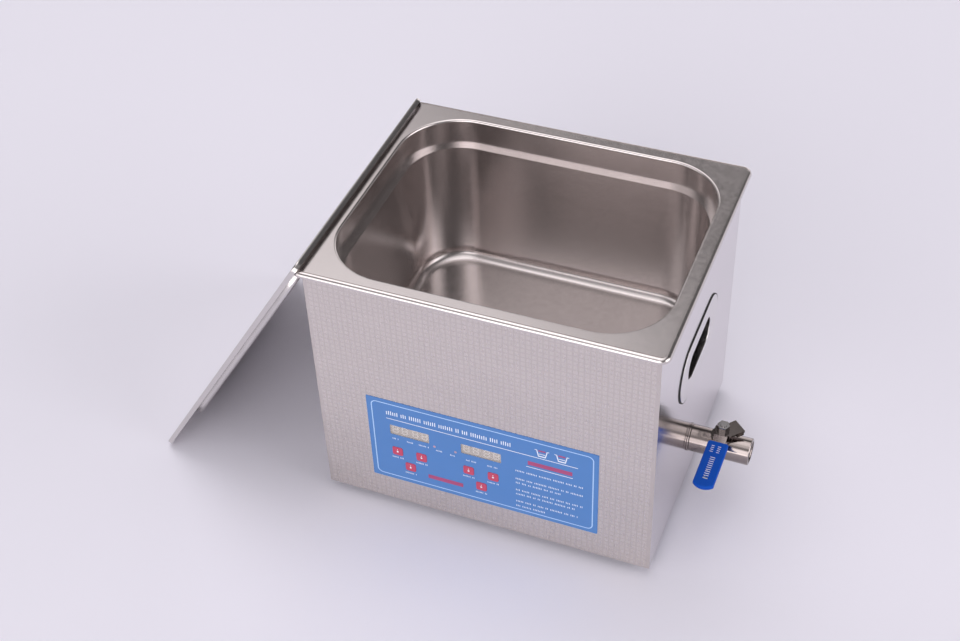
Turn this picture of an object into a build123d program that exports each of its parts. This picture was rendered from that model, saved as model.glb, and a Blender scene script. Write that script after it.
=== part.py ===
from build123d import *
import math
import os

# Bench-top ultrasonic cleaner with a deep-drawn tank, a ball-valve drain and a loose lid.
# Millimetres. +Z up, +X towards the drain side, -Y towards the operator.
# Origin: centre of the casing's footprint, on the plane the feet stand on.

# ---------------------------------------------------------------- driving dimensions
FOOT_H = 10.0          # rubber feet
CASE_W = 311.0         # casing, along X
CASE_D = 250.0         # casing, along Y
RIM_W = 325.0          # tank rim, along X
RIM_D = 265.0          # tank rim, along Y
RIM_TOP = 270.5        # height of the rim's flat top
RIM_DROP = 4.0         # turned-down edge of the rim
RIM_R = 9.0            # plan radius of the rim's corners
TANK_SHEET = 1.0
PANEL = 0.8            # casing and lid sheet
COLLAR_W = 294.0       # tank mouth, inside the rolled edge
COLLAR_D = 234.0
COLLAR_R = 55.0
STEP_DROP = 27.5       # rim top to the stacking step
STEP_IN = 5.0
TANK_DEPTH = 154.5     # rim top to tank floor
DRAFT = 3.5            # how far each tank wall leans in, from step to floor
FLOOR_FILLET = 12.0

CASE_BOTTOM = FOOT_H
CASE_TOP = RIM_TOP - TANK_SHEET
HALF_W = CASE_W / 2
HALF_D = CASE_D / 2
STEP_Z = RIM_TOP - STEP_DROP
FLOOR_Z = RIM_TOP - TANK_DEPTH
TANK_UNDER = FLOOR_Z - TANK_SHEET
FLANGE = 8.0           # return flanges of the casing sheets
BASE_Z = CASE_BOTTOM + PANEL
BASE_TOP = BASE_Z + 1.0

DRAIN_Y = -5.0         # drain line, side wall and valve
DRAIN_Z = 60.0
SPUD_X = 105.0         # drain hole in the tank floor
VALVE_X = 185.5        # valve stem
VALVE_END = 212.5
VALVE_START = HALF_W + 1.6
VALVE_R = 12.5
BALL_R = 9.0
BORE_R = 5.5

HANDLE_Z = 167.0       # side handles
HANDLE_W = 118.0
HANDLE_H = 58.0
GRIP_W = 70.0
GRIP_H = 27.0
GRIP_PLATE = 1.2       # thickness of the grip plate

LABEL_W = 215.0        # control label on the front
LABEL_H = 101.0
LABEL_X = -0.5
LABEL_Z = 88.5
LABEL_T = 0.4
KEY = 10.0
DISPLAY_W = 37.5
DISPLAY_H = 11.5
DISPLAY_XZ = [(-68.5, 103.0), (-0.7, 102.4)]
BOARD_Y = -HALF_D + 8.0      # front face of the control board

LID_ANGLE = 57.8       # lean of the lid against the rim
LID_EDGE = 4.5
LID_DISH = 10.5
LID_FOOT_X = -331.0

# rear fittings
FAN_X = 95.0
FAN_Z = 48.0
FAN = 60.0
FAN_R = 27.0
INLET_X = -112.0
FUSE_X = -78.0
SWITCH_X = -48.0
REAR_Z = 52.0
ROCKER_Y = HALF_D - 1.0

# drain hose
HOSE_BEND = 16.0
HOSE_END = 140.0
NIPPLE_START = 124.0

# ball valve
CAVITY_R = 9.4
CAVITY_START = VALVE_X - BALL_R - 0.6
CAVITY_END = VALVE_X + BALL_R + 0.6
THREAD_END = VALVE_END - 14.0
SOCKET_R = 9.9          # pitch radius of a G 1/2 thread
NECK_TOP = 73.4
GLAND_TOP = 78.2
LEVER_Z = 78.8
LEVER_T = 2.0
LEVER_DROP = 3.2
SLEEVE_START = 15.0
SLEEVE_END = 71.5
STEM_R = 3.0

# keys
SWITCH_FACE = BOARD_Y - 3.5
STUB_R = 1.7

# ultrasonic stacks
FRONT_MASS = 25.0
PIEZO_T = 5.0
ELECTRODE_T = 0.3
PIEZO_TOP = TANK_UNDER - FRONT_MASS
STACK_T = 2 * PIEZO_T + 2 * ELECTRODE_T
BACK_TOP = PIEZO_TOP - STACK_T
BACK_MASS = 22.0

# generator board
BOARD_X0 = -140.0
BOARD_X1 = 18.0
BOARD_Y0 = -8.0
BOARD_Y1 = 92.0
STANDOFF_TOP = BASE_TOP + 7.0
GEN_TOP = STANDOFF_TOP + 1.6
TERMINAL_Y = -1.8
RIBBON_X = 2.0

os.makedirs("parts", exist_ok=True)


# ---------------------------------------------------------------- shape helpers
def slab(x0, x1, y0, y1, z0, z1):
    """Box between two corners."""
    middle = ((x0 + x1) / 2, (y0 + y1) / 2, (z0 + z1) / 2)
    return Pos(*middle) * Box(abs(x1 - x0), abs(y1 - y0), abs(z1 - z0))


def rounded(width, depth, radius, z0, z1, x=0.0, y=0.0):
    """Upright prism with a rounded rectangular outline."""
    return Pos(x, y, z0) * extrude(RectangleRounded(width, depth, radius), z1 - z0)


def rounded_x(width_y, height_z, radius, x0, x1, y, z):
    """Prism along X with a rounded rectangular outline."""
    face = Plane(origin=(x0, y, z), x_dir=(0, 1, 0), z_dir=(1, 0, 0))
    return extrude(face * RectangleRounded(width_y, height_z, radius), x1 - x0)


def rounded_y(width_x, height_z, radius, y0, y1, x, z):
    """Prism along Y with a rounded rectangular outline."""
    face = Plane(origin=(x, y0, z), x_dir=(-1, 0, 0), z_dir=(0, 1, 0))
    return extrude(face * RectangleRounded(width_x, height_z, radius), y1 - y0)


def rod_z(x, y, radius, z0, z1):
    return Pos(x, y, (z0 + z1) / 2) * Cylinder(radius, z1 - z0)


def rod_x(y, z, radius, x0, x1):
    return Pos((x0 + x1) / 2, y, z) * Rot(0, 90, 0) * Cylinder(radius, x1 - x0)


def rod_y(x, z, radius, y0, y1):
    return Pos(x, (y0 + y1) / 2, z) * Rot(90, 0, 0) * Cylinder(radius, y1 - y0)


def hex_z(x, y, across, z0, z1):
    outline = RegularPolygon(across / 2, 6, major_radius=False)
    return Pos(x, y, z0) * extrude(outline, z1 - z0)


def hex_x(y, z, across, x0, x1):
    face = Plane(origin=(x0, y, z), x_dir=(0, 1, 0), z_dir=(1, 0, 0))
    return extrude(face * RegularPolygon(across / 2, 6, major_radius=False), x1 - x0)


def edges_at(shape, z):
    """Edges that lie wholly at one height."""
    picked = []
    for edge in shape.edges():
        box = edge.bounding_box()
        if abs(box.min.Z - z) < 1e-4 and abs(box.max.Z - z) < 1e-4:
            picked.append(edge)
    return picked


def tapered(width, depth, radius, top, bottom, lean):
    """Solid that narrows from its top outline down to its floor."""
    upper = Pos(0, 0, top) * RectangleRounded(width, depth, radius)
    lower = Pos(0, 0, bottom) * RectangleRounded(width - 2 * lean, depth - 2 * lean, radius - lean)
    return loft([upper, lower])


def pan_screw(head_r, head_h, shank_r, length):
    """Pan-head screw pointing down, with its head seated on z = 0 and a cross recess."""
    head = Pos(0, 0, head_h / 2) * Cylinder(head_r, head_h)
    head = fillet(edges_at(head, head_h), head_h * 0.45)
    slot = head_r * 1.1
    recess = Box(slot, slot * 0.2, head_h) + Box(slot * 0.2, slot, head_h)
    head -= Pos(0, 0, head_h) * recess
    return head + Pos(0, 0, -length / 2) * Cylinder(shank_r, length)


def save(name, *shapes):
    solids = [solid for shape in shapes for solid in shape.solids()]
    part = solids[0] if len(solids) == 1 else Compound(children=solids)
    part.label = name
    export_step(part, f"parts/{name}.step")


# ---------------------------------------------------------------- tank
def tank():
    """One-piece drawn tank: rolled rim, collar, stacking step, leaning walls, filleted floor."""
    under_rim = RIM_TOP - TANK_SHEET
    rim = rounded(RIM_W, RIM_D, RIM_R, RIM_TOP - RIM_DROP, RIM_TOP)
    rim = fillet(edges_at(rim, RIM_TOP), 3.4)
    hollow = rounded(RIM_W - 2, RIM_D - 2, RIM_R - 1, RIM_TOP - RIM_DROP, under_rim)
    hollow = fillet(edges_at(hollow, under_rim), 2.4)
    rim -= hollow

    step_under = STEP_Z - TANK_SHEET
    collar = rounded(COLLAR_W + 3, COLLAR_D + 3, COLLAR_R + 1.5, step_under, under_rim)
    wall_w = COLLAR_W - 2 * STEP_IN
    wall_d = COLLAR_D - 2 * STEP_IN
    wall_r = COLLAR_R - STEP_IN
    pan = tapered(wall_w + 2, wall_d + 2, wall_r + 1, step_under, TANK_UNDER, DRAFT)
    pan = fillet(edges_at(pan, TANK_UNDER), FLOOR_FILLET + 1)
    body = rim + collar + pan

    mouth = rounded(COLLAR_W, COLLAR_D, COLLAR_R, STEP_Z, RIM_TOP)
    well = tapered(wall_w, wall_d, wall_r, STEP_Z, FLOOR_Z, DRAFT)
    well = fillet(edges_at(well, FLOOR_Z), FLOOR_FILLET)
    body -= mouth
    body -= well
    lip = [e for e in edges_at(body, RIM_TOP) if in_mouth(e)]
    body = fillet(lip, 2.0)
    body -= rim_crease()
    body -= rod_z(SPUD_X, DRAIN_Y, 10.6, TANK_UNDER - 1, FLOOR_Z + 1)
    return body


def rim_crease():
    """Shallow pressed line between the rim's flat top and its rolled edge."""
    outer = rounded(RIM_W - 7.6, RIM_D - 7.6, RIM_R - 3.8, RIM_TOP - 0.4, RIM_TOP + 1)
    return outer - rounded(RIM_W - 9.0, RIM_D - 9.0, RIM_R - 4.5, RIM_TOP - 1, RIM_TOP + 2)


def in_mouth(edge):
    """True for an edge of the tank mouth, false for one of the rim's outer edge."""
    box = edge.bounding_box()
    return max(abs(box.min.X), abs(box.max.X)) < COLLAR_W / 2 + 0.5 and (
        max(abs(box.min.Y), abs(box.max.Y)) < COLLAR_D / 2 + 0.5)


# ---------------------------------------------------------------- casing
def end_panel(side):
    """Front (side = -1) or rear (side = +1) sheet with return flanges on all four edges."""
    outer = side * HALF_D
    inner = side * (HALF_D - PANEL)
    back = side * (HALF_D - PANEL - FLANGE)
    rim_return = side * (HALF_D - PANEL - 4.0)
    sheet = slab(-HALF_W, HALF_W, inner, outer, CASE_BOTTOM, CASE_TOP)
    reach = HALF_W - PANEL
    sheet += slab(-reach, reach, back, inner, CASE_BOTTOM, CASE_BOTTOM + PANEL)
    sheet += slab(-reach, reach, rim_return, inner, CASE_TOP - PANEL, CASE_TOP)
    for end in (-1, 1):
        sheet += slab(end * (reach - PANEL), end * reach, back, inner, CASE_BOTTOM + 2, CASE_TOP - 6)
    corners = [e for e in sheet.edges() if corner_edge(e, outer)]
    return fillet(corners, 0.6)


def corner_edge(edge, y):
    """An upright outer corner of an end panel."""
    box = edge.bounding_box()
    upright = box.max.Z - box.min.Z > 200
    return upright and abs(abs(box.min.X) - HALF_W) < 1e-3 and abs(box.min.Y - y) < 1e-3


def key_places():
    """Two groups of three keys: two above, one centred below."""
    places = []
    for middle in (-70.0, -1.5):
        places.append((middle - 11.6, 76.2))
        places.append((middle + 11.6, 76.2))
        places.append((middle, 59.2))
    return places


def lamp_places():
    return [(-45.0, 95.2), (-24.9, 95.2)]


def front_panel():
    sheet = end_panel(-1)
    outer = -HALF_D
    for x, z in DISPLAY_XZ:
        sheet -= rounded_y(DISPLAY_W + 0.6, DISPLAY_H + 0.6, 0.8, outer - 1, outer + 2, x, z)
    for x, z in key_places():
        sheet -= rounded_y(KEY + 0.8, KEY + 0.8, 2.2, outer - 1, outer + 2, x, z)
    for x, z in lamp_places():
        sheet -= rod_y(x, z, 1.7, outer - 1, outer + 2)
    return sheet


def side_panel(side):
    """Smooth side sheet, cut out for its handle and, on the drain side, for the outlet."""
    y_reach = HALF_D - PANEL
    x0 = side * (HALF_W - PANEL)
    x1 = side * HALF_W
    sheet = slab(x0, x1, -y_reach, y_reach, CASE_BOTTOM, CASE_TOP)
    low, high = sorted((x0, side * (HALF_W - PANEL - FLANGE)))
    sheet += slab(low, high, -y_reach + FLANGE + 1, y_reach - FLANGE - 1, CASE_BOTTOM, CASE_BOTTOM + PANEL)
    low, high = sorted((x0, side * (HALF_W - PANEL - 4.0)))
    sheet += slab(low, high, -y_reach + 5, y_reach - 5, CASE_TOP - PANEL, CASE_TOP)
    left = min(x0, x1) - 1
    sheet -= rounded_x(GRIP_W + 8, GRIP_H + 8, GRIP_H / 2 + 3.9, left, left + 3, 0, HANDLE_Z)
    if side > 0:
        sheet -= rod_x(DRAIN_Y, DRAIN_Z, 10.8, HALF_W - 2, HALF_W + 1)
    return sheet


def side_handle(side):
    """Pressed grip plate on the outside of the sheet, with a slot and a turned-in lip."""
    face = HALF_W + GRIP_PLATE
    plate = rounded_x(HANDLE_W, HANDLE_H, HANDLE_H / 2 - 0.1, HALF_W, face, 0, HANDLE_Z)
    plate += rounded_x(GRIP_W + 1.6, GRIP_H + 1.6, GRIP_H / 2 + 0.7, HALF_W - 7.0, face, 0, HANDLE_Z)
    plate -= rounded_x(GRIP_W, GRIP_H, GRIP_H / 2 - 0.1, HALF_W - 8, face + 1, 0, HANDLE_Z)
    plate = fillet([e for e in plate.edges() if in_plane_x(e, face)], 0.8)
    if side < 0:
        plate = mirror(plate, Plane.YZ)
    return plate


def in_plane_x(edge, x):
    box = edge.bounding_box()
    return abs(box.min.X - x) < 1e-3 and abs(box.max.X - x) < 1e-3


def rear_panel():
    sheet = end_panel(1)
    y0 = HALF_D - 2
    y1 = HALF_D + 1
    sheet -= rounded_y(27.6, 20.2, 2.0, y0, y1, INLET_X, REAR_Z)
    sheet -= rod_y(FUSE_X, REAR_Z, 6.3, y0, y1)
    sheet -= rounded_y(12.8, 27.4, 0.8, y0, y1, SWITCH_X, REAR_Z)
    sheet -= rod_y(FAN_X, FAN_Z, FAN_R, y0, y1)
    for x, z in fan_holes():
        sheet -= rod_y(x, z, 2.1, y0, y1)
    for x in (INLET_X - 20, INLET_X + 20):
        sheet -= rod_y(x, REAR_Z, 1.6, y0, y1)
    for x, z in rear_screw_places():
        sheet -= rod_y(x, z, 1.8, y0, y1)
    return sheet


def fan_holes():
    return [(FAN_X + sx * 25, FAN_Z + sz * 25) for sx in (-1, 1) for sz in (-1, 1)]


def rear_screw_places():
    """Screws that hold the rear sheet to the inner corner angles."""
    return [(sx * 147.0, z) for sx in (-1, 1) for z in (40.0, 140.0, 240.0)]


def corner_angles():
    """Two upright angles inside the rear corners, which the rear sheet is screwed to."""
    angles = []
    for sx in (-1, 1):
        x_in = sx * (HALF_W - 2 * PANEL - 0.2)
        y_back = HALF_D - PANEL - FLANGE - 0.3
        angle = slab(x_in - sx * 14, x_in, y_back - 1.2, y_back, 22, 258)
        for x, z in rear_screw_places():
            angle -= rod_y(x, z, 1.2, y_back - 3, y_back + 1)
        angles.append(angle)
    return angles


def base_plate():
    """Bottom sheet on the return flanges, slotted under the electronics."""
    plate = slab(-HALF_W + 2, HALF_W - 2, -HALF_D + 1.2, HALF_D - 1.2, BASE_Z, BASE_TOP)
    for column in range(9):
        x = -125 + column * 14
        for row in (20, 62):
            plate -= Pos(x, row, BASE_Z) * extrude(SlotOverall(30, 4, 90), 2)
    for x, y in foot_places():
        plate -= rod_z(x, y, 2.2, BASE_Z - 1, BASE_TOP + 1)
    for x, y in standoff_places():
        plate -= rod_z(x, y, 1.6, BASE_Z - 1, BASE_TOP + 1)
    return plate


def foot_places():
    return [(sx * 136.0, sy * 108.0) for sx in (-1, 1) for sy in (-1, 1)]


def feet():
    pads = []
    for x, y in foot_places():
        pad = rod_z(x, y, 8.1, 0, BASE_Z)
        pad = fillet(edges_at(pad, 0), 1.2)
        pad -= rod_z(x, y, 4.6, -1, 5.0)
        pad -= rod_z(x, y, 2.1, 4, BASE_Z + 1)
        pads.append(pad)
    return pads


def foot_screws():
    screw = Rot(180, 0, 0) * pan_screw(3.8, 2.6, 2.0, 14.0)
    return [Pos(x, y, 5.0) * screw for x, y in foot_places()]


def foot_nuts():
    return [hex_z(x, y, 7.0, BASE_TOP, BASE_TOP + 3.2) - rod_z(x, y, 2.0, BASE_Z, BASE_TOP + 4)
            for x, y in foot_places()]


def rear_screws():
    screw = Rot(-90, 0, 0) * pan_screw(3.4, 2.2, 1.2, 11.0)
    return [Pos(x, HALF_D, z) * screw for x, z in rear_screw_places()]


# ---------------------------------------------------------------- drain line
def drain_spud():
    """Threaded drain fitting through the tank floor, flanged inside the tank."""
    spud = rod_z(SPUD_X, DRAIN_Y, 15.5, FLOOR_Z, FLOOR_Z + 1.8)
    spud = fillet(edges_at(spud, FLOOR_Z + 1.8), 1.2)
    spud += rod_z(SPUD_X, DRAIN_Y, 10.4, 90, FLOOR_Z)
    return spud - rod_z(SPUD_X, DRAIN_Y, 8.2, 89, FLOOR_Z + 3)


def drain_gasket():
    ring = rod_z(SPUD_X, DRAIN_Y, 15.5, TANK_UNDER - 2, TANK_UNDER)
    return ring - rod_z(SPUD_X, DRAIN_Y, 10.5, 100, TANK_UNDER + 1)


def drain_locknut():
    top = TANK_UNDER - 2
    return hex_z(SPUD_X, DRAIN_Y, 27, top - 5, top) - rod_z(SPUD_X, DRAIN_Y, 10.4, top - 6, top + 1)


def drain_hose():
    """Moulded elbow hose from the spud tail down to the outlet pipe."""
    def tube(radius):
        drop = rod_z(SPUD_X, DRAIN_Y, radius, DRAIN_Z + HOSE_BEND, 104)
        run = rod_x(DRAIN_Y, DRAIN_Z, radius, SPUD_X + HOSE_BEND, HOSE_END)
        centre = Pos(SPUD_X + HOSE_BEND, DRAIN_Y, DRAIN_Z + HOSE_BEND)
        ring = Plane(origin=(-HOSE_BEND, 0, 0), z_dir=(0, 0, 1)) * Circle(radius)
        bend = centre * revolve(ring, Axis((0, 0, 0), (0, -1, 0)), 90)
        return drop + bend + run
    return tube(13.0) - tube(10.4)


def hose_clamps():
    upper = rod_z(SPUD_X, DRAIN_Y, 14.0, 94, 102) - rod_z(SPUD_X, DRAIN_Y, 13.0, 93, 103)
    upper += slab(SPUD_X - 5, SPUD_X + 5, DRAIN_Y + 13.4, DRAIN_Y + 19, 94.5, 101.5)
    lower = rod_x(DRAIN_Y, DRAIN_Z, 14.0, 129, 137) - rod_x(DRAIN_Y, DRAIN_Z, 13.0, 128, 138)
    lower += slab(129.5, 136.5, DRAIN_Y + 13.4, DRAIN_Y + 19, DRAIN_Z - 5, DRAIN_Z + 5)
    return [upper, lower]


def outlet_pipe():
    """Threaded pipe from the hose, out through the side wall, into the valve."""
    pipe = rod_x(DRAIN_Y, DRAIN_Z, 10.4, NIPPLE_START, VALVE_START + 11)
    return pipe - rod_x(DRAIN_Y, DRAIN_Z, 7.6, NIPPLE_START - 1, VALVE_START + 12)


def outlet_locknut():
    x1 = HALF_W - PANEL
    return hex_x(DRAIN_Y, DRAIN_Z, 27, x1 - 5, x1) - rod_x(DRAIN_Y, DRAIN_Z, 10.4, x1 - 6, x1 + 1)


def outlet_washer():
    ring = rod_x(DRAIN_Y, DRAIN_Z, 13.2, HALF_W, VALVE_START)
    ring = fillet(ring.edges().filter_by(GeomType.CIRCLE), 0.5)
    return ring - rod_x(DRAIN_Y, DRAIN_Z, 10.4, HALF_W - 1, VALVE_START + 1)


# ---------------------------------------------------------------- ball valve


def valve_body():
    """Round bar body with a threaded socket each end, ball chamber and stem neck."""
    body = rod_x(DRAIN_Y, DRAIN_Z, VALVE_R, VALVE_START, VALVE_END)
    body = chamfer(body.edges().filter_by(GeomType.CIRCLE), 0.6)
    groove = rod_x(DRAIN_Y, DRAIN_Z, VALVE_R + 1, 172.0, 172.6) - rod_x(DRAIN_Y, DRAIN_Z, VALVE_R - 0.3, 171, 174)
    body -= groove
    body += rod_z(VALVE_X, DRAIN_Y, 10.5, DRAIN_Z, NECK_TOP)
    body -= rod_x(DRAIN_Y, DRAIN_Z, 10.4, VALVE_START - 1, VALVE_START + 11)
    body -= rod_x(DRAIN_Y, DRAIN_Z, BORE_R, VALVE_START + 10, CAVITY_START + 1)
    body -= rod_x(DRAIN_Y, DRAIN_Z, CAVITY_R, CAVITY_START, THREAD_END + 0.1)
    body -= rod_x(DRAIN_Y, DRAIN_Z, SOCKET_R, THREAD_END, VALVE_END + 1)
    body -= rod_z(VALVE_X, DRAIN_Y, STEM_R + 0.05, DRAIN_Z, NECK_TOP + 1)
    body -= rod_z(VALVE_X, DRAIN_Y, 5.2, NECK_TOP - 2.2, NECK_TOP + 1)
    return body


def valve_insert():
    """Screwed ring that holds the ball and its seats in the body."""
    ring = rod_x(DRAIN_Y, DRAIN_Z, CAVITY_R, CAVITY_END, THREAD_END)
    return ring - rod_x(DRAIN_Y, DRAIN_Z, BORE_R, CAVITY_END - 1, THREAD_END + 1)


def valve_seats():
    """Two sealing rings, bevelled towards the ball."""
    far = VALVE_X - CAVITY_START
    outline = Polyline((far, BORE_R), (far, CAVITY_R), (6.4, CAVITY_R), (6.4, 6.6), (7.4, BORE_R), close=True)
    ring = revolve(Plane.XZ * make_face(outline), Axis.X)
    centre = Pos(VALVE_X, DRAIN_Y, DRAIN_Z)
    return [centre * ring, centre * mirror(ring, Plane.YZ)]


def valve_ball():
    """Ball turned to the closed position: its bore runs across the pipe."""
    ball = Pos(VALVE_X, DRAIN_Y, DRAIN_Z) * Sphere(BALL_R)
    ball -= rod_y(VALVE_X, DRAIN_Z, BORE_R, DRAIN_Y - 12, DRAIN_Y + 12)
    tang = slab(VALVE_X - 1.5, VALVE_X + 1.5, DRAIN_Y - 10, DRAIN_Y + 10, DRAIN_Z + 6.6, DRAIN_Z + 12)
    return ball - tang


def valve_stem():
    stem = rod_z(VALVE_X, DRAIN_Y, STEM_R, DRAIN_Z + 9.2, 86.6)
    tang = slab(VALVE_X - 1.45, VALVE_X + 1.45, DRAIN_Y - 2.5, DRAIN_Y + 2.5, DRAIN_Z + 6.7, DRAIN_Z + 9.2)
    return stem + tang


def stem_packing():
    ring = rod_z(VALVE_X, DRAIN_Y, 5.2, NECK_TOP - 2.2, NECK_TOP)
    return ring - rod_z(VALVE_X, DRAIN_Y, STEM_R + 0.05, 60, 90)


def gland_nut():
    nut = hex_z(VALVE_X, DRAIN_Y, 14, NECK_TOP, GLAND_TOP)
    return nut - rod_z(VALVE_X, DRAIN_Y, STEM_R + 0.05, 60, 90)


def valve_lever():
    """Flat lever: square stop tab behind the stem, short joggle, then the arm in the sleeve."""
    z0 = LEVER_Z
    z1 = LEVER_Z + LEVER_T
    lever = rod_z(VALVE_X, DRAIN_Y, 7.5, z0, z1)
    tab = Box(16.6, 15.0, LEVER_T)
    tab += Pos(3.8, -6.5, -1.5) * Box(7.0, 2.0, 5.0)
    lever += Pos(VALVE_X + 7.8, DRAIN_Y + 2.9, z0 + LEVER_T / 2) * Rot(0, 0, 48) * tab
    lever += slab(VALVE_X - 6, VALVE_X + 6, DRAIN_Y - 9, DRAIN_Y, z0, z1)
    start = DRAIN_Y - 9
    low = z0 - LEVER_DROP
    side = Plane(origin=(VALVE_X - 6, 0, 0), x_dir=(0, 1, 0), z_dir=(1, 0, 0))
    joggle = Polyline((start, z0), (start, z1), (start - 5.5, z1 - LEVER_DROP),
                      (start - 5.5, low), close=True)
    lever += extrude(side * make_face(joggle), 12)
    lever += slab(VALVE_X - 6, VALVE_X + 6, DRAIN_Y - SLEEVE_END + 3, start - 5.5, low, low + LEVER_T)
    return lever - rod_z(VALVE_X, DRAIN_Y, STEM_R, z0 - 1, z1 + 1)


def lever_sleeve():
    """Dip-moulded sleeve on the lever arm, rounded at its free end."""
    width = 18.7
    middle = LEVER_Z - LEVER_DROP + LEVER_T / 2
    outline = Pos(VALVE_X, DRAIN_Y - (SLEEVE_START + SLEEVE_END) / 2) * RectangleRounded(
        width, SLEEVE_END - SLEEVE_START, 2.5)
    tip = Pos(VALVE_X, DRAIN_Y - SLEEVE_END + 12) * Circle(12.0)
    root = Pos(VALVE_X, DRAIN_Y - SLEEVE_START - 21) * Rectangle(width + 2, 48)
    outline = outline & (tip + root)
    sleeve = Pos(0, 0, middle - 2.4) * extrude(outline, 4.8)
    sleeve = fillet(edges_at(sleeve, middle + 2.4) + edges_at(sleeve, middle - 2.4), 1.4)
    arm = slab(VALVE_X - 6, VALVE_X + 6, DRAIN_Y - SLEEVE_END + 3, DRAIN_Y, middle - 1, middle + 1)
    return sleeve - arm


def stem_nut():
    z0 = LEVER_Z + LEVER_T
    nut = hex_z(VALVE_X, DRAIN_Y, 10.0, z0, z0 + 5.0)
    return nut - rod_z(VALVE_X, DRAIN_Y, STEM_R, z0 - 1, z0 + 6)


# ---------------------------------------------------------------- control panel
def control_label():
    """Printed film on the front, open at the displays, the keys and the lamps."""
    y0 = -HALF_D - LABEL_T
    film = rounded_y(LABEL_W, LABEL_H, 1.0, y0, -HALF_D, LABEL_X, LABEL_Z)
    for x, z in DISPLAY_XZ:
        film -= rounded_y(DISPLAY_W, DISPLAY_H, 0.8, y0 - 1, 0, x, z)
    for x, z in key_places():
        film -= rounded_y(KEY + 0.3, KEY + 0.3, 2.0, y0 - 1, 0, x, z)
    for x, z in lamp_places():
        film -= rod_y(x, z, 1.3, y0 - 1, 0)
    return film


def display_windows():
    y0 = -HALF_D - LABEL_T
    return [rounded_y(DISPLAY_W, DISPLAY_H, 0.8, y0, -HALF_D + 0.2, x, z) for x, z in DISPLAY_XZ]


def display_module(place):
    x, z = place
    return slab(x - 19.6, x + 19.6, -HALF_D + 1.0, BOARD_Y, z - 7.2, z + 7.2)


def key_cap(x, z):
    """Domed key with the stub that works its switch."""
    face = -HALF_D - LABEL_T - 0.45
    cap = rounded_y(KEY, KEY, 1.9, face, -HALF_D + 0.4, x, z)
    cap = fillet(cap.faces().sort_by(Axis.Y)[0].edges(), 0.3)
    return cap + rod_y(x, z, STUB_R, -HALF_D + 0.4, SWITCH_FACE + 1.0)


def tact_switches():
    cases = []
    for x, z in key_places():
        case = slab(x - 3, x + 3, SWITCH_FACE, BOARD_Y, z - 3, z + 3)
        cases.append(case - rod_y(x, z, STUB_R + 0.25, SWITCH_FACE - 1, SWITCH_FACE + 2.2))
    return cases


def indicator_lamps():
    return [rod_y(x, z, 1.2, -HALF_D - LABEL_T, -HALF_D + 1.4)
            + rod_y(x, z, 1.9, -HALF_D + 1.4, BOARD_Y) for x, z in lamp_places()]


def board_studs_places():
    return [(x, z) for x in (-92.0, 26.0) for z in (52.0, 112.0)]


def control_board():
    board = slab(-97, 31, BOARD_Y, BOARD_Y + 1.6, 47, 117)
    for x, z in board_studs_places():
        board -= rod_y(x, z, 1.6, BOARD_Y - 1, BOARD_Y + 3)
    return board


def board_studs():
    return [rod_y(x, z, 2.6, -HALF_D + PANEL, BOARD_Y) + rod_y(x, z, 1.5, BOARD_Y, BOARD_Y + 2.2)
            for x, z in board_studs_places()]


def board_chips():
    """Controller, driver and connector blocks on the back of the control board."""
    y = BOARD_Y + 1.6
    chips = [slab(-60, -32, y, y + 1.0, 66, 74), slab(-18, -4, y, y + 1.0, 66, 74)]
    chips.append(slab(-86, -66, y, y + 1.2, 58, 66))
    chips.append(slab(RIBBON_X - 7, RIBBON_X + 7, y, y + 5.0, 58, 64))
    return chips


# ---------------------------------------------------------------- ultrasonic stack and heating
def stack_places():
    return [(sx * 65.0, sy * 50.0) for sx in (-1, 1) for sy in (-1, 1)]


def front_masses():
    masses = []
    for x, y in stack_places():
        mass = Pos(x, y, TANK_UNDER - FRONT_MASS / 2) * Cone(19.5, 28.0, FRONT_MASS)
        masses.append(mass - rod_z(x, y, 5.0, PIEZO_TOP - 1, PIEZO_TOP + 16))
    return masses


def piezo_rings():
    rings = []
    for x, y in stack_places():
        for top in (PIEZO_TOP, PIEZO_TOP - PIEZO_T - ELECTRODE_T):
            rings.append(rod_z(x, y, 19.0, top - PIEZO_T, top) - rod_z(x, y, 8.0, top - 6, top + 1))
    return rings


def electrodes():
    plates = []
    for x, y in stack_places():
        for index, top in enumerate((PIEZO_TOP - PIEZO_T, BACK_TOP + ELECTRODE_T)):
            disc = rod_z(x, y, 19.4, top - ELECTRODE_T, top)
            reach = slab(x - 2.5, x + 2.5, y, y + (24 if index else -24), top - ELECTRODE_T, top)
            plates.append(disc + reach - rod_z(x, y, 8.0, top - 2, top + 2))
    return plates


def back_masses():
    return [rod_z(x, y, 19.5, BACK_TOP - BACK_MASS, BACK_TOP)
            - rod_z(x, y, 5.2, BACK_TOP - BACK_MASS - 1, BACK_TOP + 1) for x, y in stack_places()]


def stack_bolts():
    bolts = []
    seat = BACK_TOP - BACK_MASS
    for x, y in stack_places():
        bolt = rod_z(x, y, 8.0, seat - 7, seat) - hex_z(x, y, 8.0, seat - 8, seat - 3)
        bolts.append(bolt + rod_z(x, y, 5.0, seat, PIEZO_TOP + 15))
    return bolts


def heater_pad():
    pad = slab(-112, 80, -18, 18, TANK_UNDER - 3, TANK_UNDER)
    return fillet(pad.edges().filter_by(Axis.Z), 4)


def thermal_cutout():
    top = TANK_UNDER - 3
    disc = rod_z(-30, 0, 8.0, top - 6, top)
    return disc + slab(-41, -38, -3, 3, top - 5, top - 4.2) + slab(-38, -22, -3, 3, top - 5, top - 4.2)


def water_sensor():
    """Thermistor probe in a clip under the tank floor."""
    clip = slab(-130, -118, -6, 6, TANK_UNDER - 1.2, TANK_UNDER)
    return clip + rod_x(0, TANK_UNDER - 5.2, 4.0, -131, -117)


# ---------------------------------------------------------------- generator


def standoff_places():
    return [(x, y) for x in (BOARD_X0 + 5, BOARD_X1 - 5) for y in (BOARD_Y0 + 5, BOARD_Y1 - 5)]


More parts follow.
